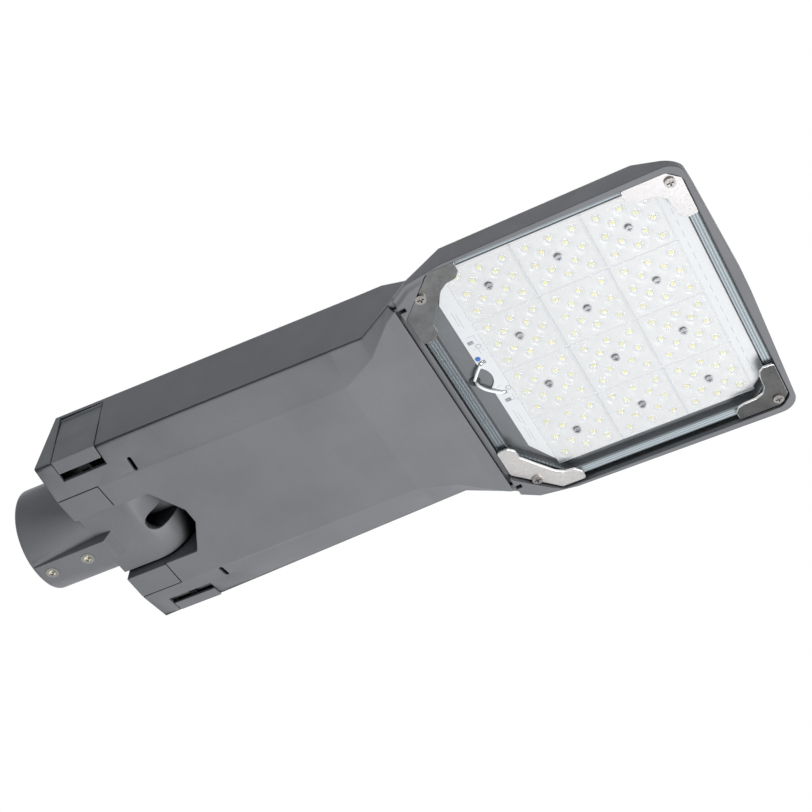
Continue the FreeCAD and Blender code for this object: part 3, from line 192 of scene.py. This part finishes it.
def metal(name, colour, roughness=0.2, clouds=0.06, stretch=(0.02, 1, 1), recess_shade=0.35):
    """Steel with the fine lines of rolling or polishing, and painted shade in its recesses."""
    material, tree, shader = new_material(name)
    lines = noise(tree, 900, 3, 0.6, stretch)
    patches = ramp(tree, noise(tree, 45, 4, 0.6), [(0.35, scaled(colour, 1 - clouds)), (0.65, colour)])
    # Painted shade in the recesses
    base = multiplied(tree, patches, painted_crevice_shade(tree, 0.0025, recess_shade))
    tree.links.new(base, shader.inputs["Base Color"])
    rough = ramp(tree, lines, [(0.3, grey(roughness * 0.8)), (0.7, grey(roughness * 1.3))])
    tree.links.new(rough, shader.inputs["Roughness"])
    shader.inputs["Metallic"].default_value = 1.0
    bump(tree, shader, lines, 0.05, 0.0002)
    return material


def moulded(name, colour, roughness, grain=700, strength=0.1, spread=0.05):
    """Plastic, rubber or solder mask with a fine grain."""
    material, tree, shader = new_material(name)
    dark, light = scaled(colour, 1 - spread), scaled(colour, 1 + spread)
    base = ramp(tree, noise(tree, 40, 3), [(0.3, dark), (0.7, light)])
    tree.links.new(base, shader.inputs["Base Color"])
    rough = ramp(tree, noise(tree, 120, 2), [(0.3, grey(roughness * 0.9)), (0.7, grey(roughness * 1.1))])
    tree.links.new(rough, shader.inputs["Roughness"])
    bump(tree, shader, noise(tree, grain, 2), strength, 0.0002)
    return material


def see_through(tree, shader, tint, fac):
    """Mixes the shader with plain transparency where fac is 1."""
    clear = tree.nodes.new("ShaderNodeBsdfTransparent")
    clear.inputs["Color"].default_value = (*tint, 1)
    mix = tree.nodes.new("ShaderNodeMixShader")
    tree.links.new(fac, mix.inputs["Fac"])
    tree.links.new(shader.outputs["BSDF"], mix.inputs[1])
    tree.links.new(clear.outputs["BSDF"], mix.inputs[2])
    tree.links.new(mix.outputs["Shader"], tree.nodes["Material Output"].inputs["Surface"])


def lens_acrylic():
    """Clear moulded acrylic that lets light and its own shadow through."""
    material, tree, shader = new_material("clear_lens")
    base = ramp(tree, noise(tree, 12, 2), [(0.3, grey(0.99)), (0.7, grey(1.0))])
    tree.links.new(base, shader.inputs["Base Color"])
    shader.inputs["Roughness"].default_value = 0.02
    shader.inputs["IOR"].default_value = 1.28
    shader.inputs["Transmission Weight"].default_value = 1.0
    bump(tree, shader, noise(tree, 160, 2), 0.02, 0.0004)
    path = tree.nodes.new("ShaderNodeLightPath")
    lit = math_node(tree, "MAXIMUM", path.outputs["Is Shadow Ray"], path.outputs["Is Diffuse Ray"])
    see_through(tree, shader, grey(1.0), lit)
    return material


def window_glass():
    """A clear tempered sheet: transparent, with a reflection that grows at glancing angles."""
    material, tree, shader = new_material("clear_glass")
    base = ramp(tree, noise(tree, 8, 2), [(0.3, (0.62, 0.70, 0.74)), (0.7, (0.70, 0.77, 0.80))])
    tree.links.new(base, shader.inputs["Base Color"])
    shader.inputs["Roughness"].default_value = 0.03
    bump(tree, shader, noise(tree, 25, 2), 0.01, 0.0004)
    # By the angle alone, because the light isn't bent inside the sheet
    weight = tree.nodes.new("ShaderNodeLayerWeight")
    weight.inputs["Blend"].default_value = 0.5
    grazing = math_node(tree, "POWER", weight.outputs["Facing"], 5.0)
    clear = math_node(tree, "SUBTRACT", 0.996, math_node(tree, "MULTIPLY", grazing, 0.9))
    see_through(tree, shader, (0.995, 1.0, 1.0), clear)
    return material


def ribbed_seal():
    """Silicone with fine ribs that follow the window's edge, with painted shade in their grooves and a
    painted highlight on their crests.
    """
    material, tree, shader = new_material("silicone_seal")
    split = tree.nodes.new("ShaderNodeSeparateXYZ")
    tree.links.new(coordinates(tree), split.inputs["Vector"])
    low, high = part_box("glass_gasket")
    middle, reach = (low.x + high.x) / 2, (high.x - low.x) / 2
    across = math_node(tree, "SUBTRACT", math_node(tree, "ABSOLUTE", split.outputs["Y"]), high.y)
    away = math_node(tree, "ABSOLUTE", math_node(tree, "SUBTRACT", split.outputs["X"], middle))
    along = math_node(tree, "SUBTRACT", away, reach)
    edge = math_node(tree, "MAXIMUM", across, along)
    ribs = math_node(tree, "SINE", math_node(tree, "MULTIPLY", edge, 2 * math.pi / (SEAL_RIB_PITCH * MM)))
    height = math_node(tree, "MULTIPLY_ADD", ribs, 0.5, 0.5)
    # Painted shade in the grooves and a painted highlight on the crests
    groove_shade, flank, crest_highlight = (0.23, 0.265, 0.285), (0.36, 0.405, 0.43), (0.50, 0.545, 0.57)
    base = ramp(tree, height, [(0.0, groove_shade), (0.5, flank), (1.0, crest_highlight)])
    tree.links.new(base, shader.inputs["Base Color"])
    shader.inputs["Roughness"].default_value = 0.4
    bump(tree, shader, ribs, 0.4, 0.0003)
    return material


HOUSING = (0.182, 0.184, 0.191)
EVEN = (1, 1, 1)

# By material slot
MATERIALS = {
    "cast_paint": powder_coat("cast_paint", HOUSING),
    "stainless": metal("stainless", (0.78, 0.76, 0.73)),
    "yellow_zinc_steel": metal("yellow_zinc_steel", (0.74, 0.71, 0.64), 0.28, recess_shade=0.03),
    "dark_spring_steel": metal("dark_spring_steel", (0.05, 0.05, 0.055), 0.4),
    "zinc_sheet": metal("zinc_sheet", (0.62, 0.64, 0.66), 0.35, 0.12),
    "clear_glass": window_glass(),
    "clear_lens": lens_acrylic(),
    "seal_rubber": moulded("seal_rubber", (0.03, 0.03, 0.03), 0.8, 500, 0.3),
    "silicone_seal": ribbed_seal(),
    "white_board": moulded("white_board", (0.745, 0.735, 0.738), 0.38, 900, 0.04, 0.01),
    "led_phosphor": moulded("led_phosphor", (0.80, 0.74, 0.44), 0.5, 900, 0.1),
    "white_wire": moulded("white_wire", (0.95, 0.95, 0.93), 0.4, 600, 0.05, 0.01),
    "white_plastic": moulded("white_plastic", (0.75, 0.75, 0.72), 0.45),
    "black_plastic": moulded("black_plastic", (0.025, 0.025, 0.027), 0.45),
    "driver_case": metal("driver_case", (0.55, 0.56, 0.57), 0.38),
}

# By node: the clips get painted reflections, each a brightness of its own for the part of a studio it would
# mirror
SPECIAL = {
    # Painted reflections: one steel, given darker and lighter copies
    "rear_clip_left": metal("clip_painted_dark_reflection", (0.26, 0.257, 0.253), 0.38, 0.3, EVEN),
    "front_clip_right": metal("clip_painted_dark_reflection_front", (0.175, 0.172, 0.169), 0.38, 0.3, EVEN),
    "rear_clip_right": metal("clip_painted_light_reflection", (0.90, 0.86, 0.82), 0.38, 0.03, EVEN),
    "front_clip_left": metal("clip_painted_light_reflection_front", (0.60, 0.58, 0.575), 0.38, 0.02, EVEN),
    "clip_screws": metal("screw_steel", (0.62, 0.58, 0.55), 0.3, 0.2, EVEN, 0.04),
    "wire_grommet": moulded("grommet_rubber", (0.03, 0.03, 0.03), 0.7, 500, 0.2),
    "tile_screws": metal("tile_screw_steel", (0.66, 0.65, 0.67), 0.38, 0.2, EVEN, 0.45),
}

# For the pads and the solder
TIN = metal("tin", (0.72, 0.72, 0.72), 0.3, 0.1, EVEN)


def paint_nodes():
    for row in frame["record"]["subparts"]:
        mesh = nodes[row["node"]].data
        mesh.materials.clear()
        mesh.materials.append(SPECIAL.get(row["node"], MATERIALS[row["material_slot"]]))


def paint_faces(mesh, material, chosen):
    """Adds a material to a mesh, paints the faces that the test picks and returns the material's index."""
    mesh.materials.append(material)
    index = len(mesh.materials) - 1
    for face in mesh.polygons:
        if chosen(face):
            face.material_index = index
    return index


def paint_lamp_room():
    """The walls and floor behind the glass take the same paint, left without its painted shade in gaps and
    hollows.
    """
    low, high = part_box("glass_gasket")

    def behind_glass(face):
        x, y, z = face.center
        return low.x < x < high.x and abs(y) < high.y and low.z < z < LAMP_ROOM_TOP * MM

    paint = powder_coat("lamp_room_paint", HOUSING, shade_crevices=False)
    paint_faces(nodes["upper_housing"].data, paint, behind_glass)


def is_upright(face):
    return abs(face.normal.z) < 0.5


def soften(node, width, edge=None):
    """Rounded edges, as casting and polishing leave them. An edge material, where given, puts painted light
    on the bevels and the upright faces.
    """
    piece = nodes[node]
    weld = piece.modifiers.new("weld", "WELD")
    weld.merge_threshold = 0.00001
    flat = piece.modifiers.new("planar", "DECIMATE")
    flat.decimate_type = "DISSOLVE"
    flat.angle_limit = math.radians(0.4)
    edges = piece.modifiers.new("round", "BEVEL")
    edges.width = width * MM
    edges.segments = 2
    edges.limit_method = "ANGLE"
    edges.angle_limit = math.radians(30)
    edges.harden_normals = True
    if edge:
        edges.material = paint_faces(piece.data, edge, is_upright)


def soften_edges():
    """Rounds the pieces whose edges catch the light. Three clips get a painted highlight on their edges, and
    the front clip on the left gets painted shade on its edge.
    """
    for name in ("gear_cover", "spigot", "latch_left", "latch_right"):
        soften(name, 0.5)
    # Painted highlight along the edges of three clips
    edge_highlight = metal("painted_edge_highlight", (0.90, 0.88, 0.86), 0.3, 0.04, EVEN, 0.6)
    for name in ("rear_clip_left", "rear_clip_right", "front_clip_right"):
        soften(name, 0.9, edge_highlight)
    # Painted shade along the edge of the front clip on the left
    soften("front_clip_left", 0.6, metal("painted_edge_shade", (0.24, 0.24, 0.25), 0.4, 0.04, EVEN, 0.6))
    soften("led_board", 0.3)


# New pieces in mesh code

def as_piece(name, form, body, slot, *materials):
    mesh = bpy.data.meshes.new(name)
    form.to_mesh(mesh)
    form.free()
    piece = bpy.data.objects.new(name, mesh)
    bpy.context.scene.collection.objects.link(piece)
    for material in materials:
        mesh.materials.append(material)
    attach(piece, body)
    return piece


def prism(form, corners, low, high, material=0):
    """A closed slab between two heights, from corners in millimetres, with one of its piece's materials."""
    lower = [form.verts.new((x * MM, y * MM, low * MM)) for x, y in corners]
    upper = [form.verts.new((x * MM, y * MM, high * MM)) for x, y in corners]
    faces = [form.faces.new(lower[::-1]), form.faces.new(upper)]
    for index in range(len(corners)):
        after = (index + 1) % len(corners)
        faces.append(form.faces.new((lower[index], lower[after], upper[after], upper[index])))
    for face in faces:
        face.material_index = material


def rectangle(x, y, length, width):
    return [(x + along * length / 2, y + across * width / 2)
            for along, across in ((-1, -1), (1, -1), (1, 1), (-1, 1))]


def on_circle(x, y, radius, step, count):
    turn = 2 * math.pi * step / count
    return (x + radius * math.cos(turn), y + radius * math.sin(turn))


def disc(x, y, radius, count=20):
    return [on_circle(x, y, radius, step, count) for step in range(count)]


def ring(form, x, y, outer, inner, low, high, count=24):
    """A flat ring made of short slabs."""
    for step in range(count):
        corners = [on_circle(x, y, radius, step + end, count)
                   for radius, end in ((inner, 0), (inner, 1), (outer, 1), (outer, 0))]
        prism(form, corners, low, high)


def tile_centres():
    return [(TILE_CENTRE + along * TILE_PITCH, across * TILE_PITCH)
            for along in TILE_ROWS for across in TILE_COLUMNS]


def lens_places():
    """Centres of the 144 lenses: a checkerboard round the screw of each tile."""
    return [(x + i * LENS_STEP, y + j * LENS_STEP) for x, y in tile_centres()
            for i in range(-2, 3) for j in range(-2, 3) if (i + j) % 2 == 0 and (i, j) != (0, 0)]


def add_leds():
    """White packages, each with a disc of yellow phosphor on its face."""
    form = bmesh.new()
    low = BOARD_LOW - CHIP_THICK
    for x, y in lens_places():
        prism(form, rectangle(x, y, CHIP_SIDE, CHIP_SIDE), low + PHOSPHOR_THICK, BOARD_LOW)
        prism(form, disc(x, y, PHOSPHOR_RADIUS), low, low + PHOSPHOR_THICK, material=1)
    package, phosphor = MATERIALS["white_plastic"], MATERIALS["led_phosphor"]
    leds = as_piece("leds", form, "housing", "led_phosphor", package, phosphor)
    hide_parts("led_chips")


def add_solder_mask():
    """A white coat under the tiles, which keeps their backs off the board's own face."""
    form = bmesh.new()
    outline = rectangle(TILE_CENTRE, 0, len(TILE_ROWS) * TILE_PITCH, len(TILE_COLUMNS) * TILE_PITCH)
    prism(form, outline, BOARD_LOW - PRINT_THICK, BOARD_LOW)
    white = moulded("mask_white", (0.685, 0.67, 0.665), 0.38, 900, 0.04, 0.01)
    as_piece("solder_mask", form, "housing", "white_board", white)


# Places of the pads, and the printed outlines beside them with their lengths and widths
PADS, PAD_LENGTH, PAD_WIDTH = ((369.2, -14.4), (370.6, 18.4), (369.0, -34.0), (370.2, 26.0)), 4.2, 3.2
RINGS, RING_OUTER, RING_INNER = ((372.6, -29.0), (375.0, 15.5)), 2.1, 1.6
OUTLINES = ((371.0, -39.4, 5.6, 0.3), (373.8, -36.6, 0.3, 5.6), (371.4, -24.0, 0.3, 5.0),
            (374.4, -24.4, 1.0, 0.8), (368.6, -27.6, 2.0, 0.3), (372.2, 27.6, 5.4, 0.3),
            (369.6, 11.6, 3.4, 0.3), (374.8, 24.8, 0.3, 5.4), (376.6, 28.6, 1.0, 0.8))
# Pairs of lines at the board's rear end: their places across it, and each line's inset and shift
LINE_PLACES, LINE_PAIR = (44, -58, 62), ((4.4, 0), (6.4, 3))
DOT_PLACE, DOT_RADIUS = (367.4, -18.6), 1.9


def add_board_pads():
    low, high = BOARD_LOW - PRINT_THICK, BOARD_LOW
    form = bmesh.new()
    for x, y in PADS:
        prism(form, rectangle(x, y, PAD_LENGTH, PAD_WIDTH), low, high)
    for x, y in RINGS:
        ring(form, x, y, RING_OUTER, RING_INNER, low, high)
    as_piece("board_pads", form, "housing", "stainless", TIN)


def add_board_prints():
    """Printed outlines by the pads, a row of dashes at the board's tip and pairs of lines at its rear end."""
    low, high = BOARD_LOW - PRINT_THICK, BOARD_LOW
    form = bmesh.new()
    for x, y, length, width in OUTLINES:
        prism(form, rectangle(x, y, length, width), low, high)
    for number in range(-8, 9):
        dash = rectangle(BOARD_TIP - DASH_INSET, number * DASH_PITCH, DASH_WIDTH, DASH_LENGTH)
        prism(form, dash, low, high)
    for y in LINE_PLACES:
        for inset, shift in LINE_PAIR:
            prism(form, rectangle(BOARD_REAR + inset, y + shift, LINE_WIDTH, LINE_LENGTH), low, high)
    ink = moulded("print_grey", (0.42, 0.43, 0.46), 0.5)
    as_piece("board_prints", form, "housing", "white_board", ink)


def add_resist_dot():
    form = bmesh.new()
    prism(form, disc(*DOT_PLACE, DOT_RADIUS), BOARD_LOW - DOT_THICK, BOARD_LOW)
    blue = moulded("blue_resist", (0.06, 0.17, 0.48), 0.35)
    as_piece("solder_resist_dot", form, "housing", "white_board", blue)


def add_seam_shade_lines():
    """Thin grey strips along two sides of each lens tile: painted shade that shows as fine lines beside a
    seam.
    """
    form = bmesh.new()
    reach = TILE_PITCH / 2 - SEAM_SHADE_INSET
    for x, y in tile_centres():
        for side in (-1, 1):
            outline = rectangle(x + side * reach, y, SEAM_SHADE_WIDTH, 2 * reach)
            prism(form, outline, BOARD_LOW - SEAM_SHADE_LOW, BOARD_LOW - SEAM_SHADE_HIGH)
    # Painted shade along the seams
    as_piece("tile_seam_shade", form, "housing", "clear_lens", moulded("painted_seam_shade", (0.80, 0.81, 0.85), 0.4))


# The lamp wires, along the same points as their solids
INSIDE = [(356.5, 1.4, -7.6), (351, 1.6, -4), (338.5, 2.4, -3.6), (324, 9, 7), (316, 9, 7)]
PLUS = [(370, 17.4, -17.2), (365.4, 12.6, -18.4), (360.4, 6.6, -19.0), (356.7, 1.6, -16.5)] + INSIDE
MINUS = ([(366.5, -13.2, -17.2), (362.6, -9.8, -18.4), (359, -5.4, -19.0), (356.7, -1.6, -16.5)]
         + [(x, -y, z) for x, y, z in INSIDE])
WIRE_RADIUS = 1.1


def add_wire(name, points):
    curve = bpy.data.curves.new(name, "CURVE")
    curve.dimensions = "3D"
    curve.bevel_depth = WIRE_RADIUS * MM
    curve.bevel_resolution = 5
    curve.use_fill_caps = True
    spline = curve.splines.new("NURBS")
    spline.points.add(len(points) - 1)
    for point, place in zip(spline.points, points):
        point.co = (*(value * MM for value in place), 1)
    spline.order_u = 3
    spline.use_endpoint_u = True
    spline.resolution_u = 10
    wire = bpy.data.objects.new(name, curve)
    bpy.context.scene.collection.objects.link(wire)
    curve.materials.append(MATERIALS["white_wire"])
    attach(wire, "housing")
    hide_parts("led_" + name)


def add_solder(name, x, y):
    """The drop of solder that holds a wire's end on its pad."""
    form = bmesh.new()
    bmesh.ops.create_uvsphere(form, u_segments=20, v_segments=10, radius=SOLDER_RADIUS * MM)
    centre = Vector((x, y, BOARD_LOW - SOLDER_DEPTH)) * MM
    for vertex in form.verts:
        vertex.co.z *= SOLDER_FLATNESS
        vertex.co += centre
    for face in form.faces:
        face.smooth = True
    as_piece(name, form, "housing", "stainless", TIN)


# Camera, lamps and floor

CAMERA_PLACE = Vector((0.6669, -0.8459, -1.0061))
CAMERA_RIGHT = Vector((0.8944, 0.4444, -0.0510))
CAMERA_UP = Vector((0.3579, -0.6424, 0.6777))
CAMERA_BACK = Vector((0.2684, -0.6243, -0.7336))
FOCAL_PIXELS, IMAGE_PIXELS, SENSOR_WIDTH = 1928.72, 812, 36.0
LAMP_AIM = Vector((0.33, 0, 0))
FLOOR_PLACE, FLOOR_RADIUS = Vector((0.28, 0, -1.9)), 4.0


def add_camera():
    data = bpy.data.cameras.new("camera")
    data.sensor_width = SENSOR_WIDTH
    data.lens = FOCAL_PIXELS / IMAGE_PIXELS * SENSOR_WIDTH
    data.clip_start, data.clip_end = 0.01, 30
    camera = bpy.data.objects.new("camera", data)
    turn = Matrix((CAMERA_RIGHT, CAMERA_UP, CAMERA_BACK)).transposed()
    camera.matrix_world = Matrix.Translation(CAMERA_PLACE) @ turn.to_4x4()
    bpy.context.scene.collection.objects.link(camera)
    bpy.context.scene.camera = camera


def add_lamp(name, place, size, power):
    data = bpy.data.lights.new(name, "AREA")
    data.shape = "DISK"
    data.size = size
    data.energy = power
    lamp = bpy.data.objects.new(name, data)
    lamp.location = place
    lamp.rotation_mode = "QUATERNION"
    lamp.rotation_quaternion = (LAMP_AIM - Vector(place)).to_track_quat("-Z", "Y")
    bpy.context.scene.collection.objects.link(lamp)


def add_world():
    """A dim even surround that shows as plain white, also in mirrors and through glass."""
    world = bpy.data.worlds.new("studio")
    bpy.context.scene.world = world
    world.use_nodes = True
    tree = world.node_tree
    tree.nodes.clear()
    shaders = []
    for colour, strength in (((0.82, 0.90, 1.0), 0.35), ((1, 1, 1), 1.0)):
        shader = tree.nodes.new("ShaderNodeBackground")
        shader.inputs["Color"].default_value = (*colour, 1)
        shader.inputs["Strength"].default_value = strength
        shaders.append(shader.outputs["Background"])
    path = tree.nodes.new("ShaderNodeLightPath")
    bright = math_node(tree, "MAXIMUM", path.outputs["Is Glossy Ray"], path.outputs["Is Transmission Ray"])
    seen = math_node(tree, "MAXIMUM", path.outputs["Is Camera Ray"], bright)
    mix = tree.nodes.new("ShaderNodeMixShader")
    tree.links.new(seen, mix.inputs["Fac"])
    for shader, socket in zip(shaders, mix.inputs[1:]):
        tree.links.new(shader, socket)
    output = tree.nodes.new("ShaderNodeOutputWorld")
    tree.links.new(mix.outputs["Shader"], output.inputs["Surface"])


def add_floor():
    """A pale floor well below the head, which hangs on its pole arm."""
    form = bmesh.new()
    bmesh.ops.create_circle(form, cap_ends=True, segments=96, radius=FLOOR_RADIUS)
    mesh = bpy.data.meshes.new("floor")
    form.to_mesh(mesh)
    form.free()
    floor = bpy.data.objects.new("floor", mesh)
    floor.location = FLOOR_PLACE
    bpy.context.scene.collection.objects.link(floor)
    mesh.materials.append(moulded("floor", grey(0.82), 0.8, 30, 0.02, 0.01))


add_camera()
paint_nodes()
paint_lamp_room()
soften_edges()
add_leds()
add_solder_mask()
add_board_pads()
add_board_prints()
add_resist_dot()
add_seam_shade_lines()
add_wire("wire_plus", PLUS)
add_wire("wire_minus", MINUS)
add_solder("solder_plus", 370.4, 17.8)
add_solder("solder_minus", 367.4, -13.8)
add_lamp("key", place=(0.75, 0.25, -1.4), size=0.8, power=20)
add_lamp("top", place=(0.3, 0.3, 1.8), size=1.6, power=22)
add_world()
add_floor()
bpy.context.scene.view_settings.view_transform = "Standard"
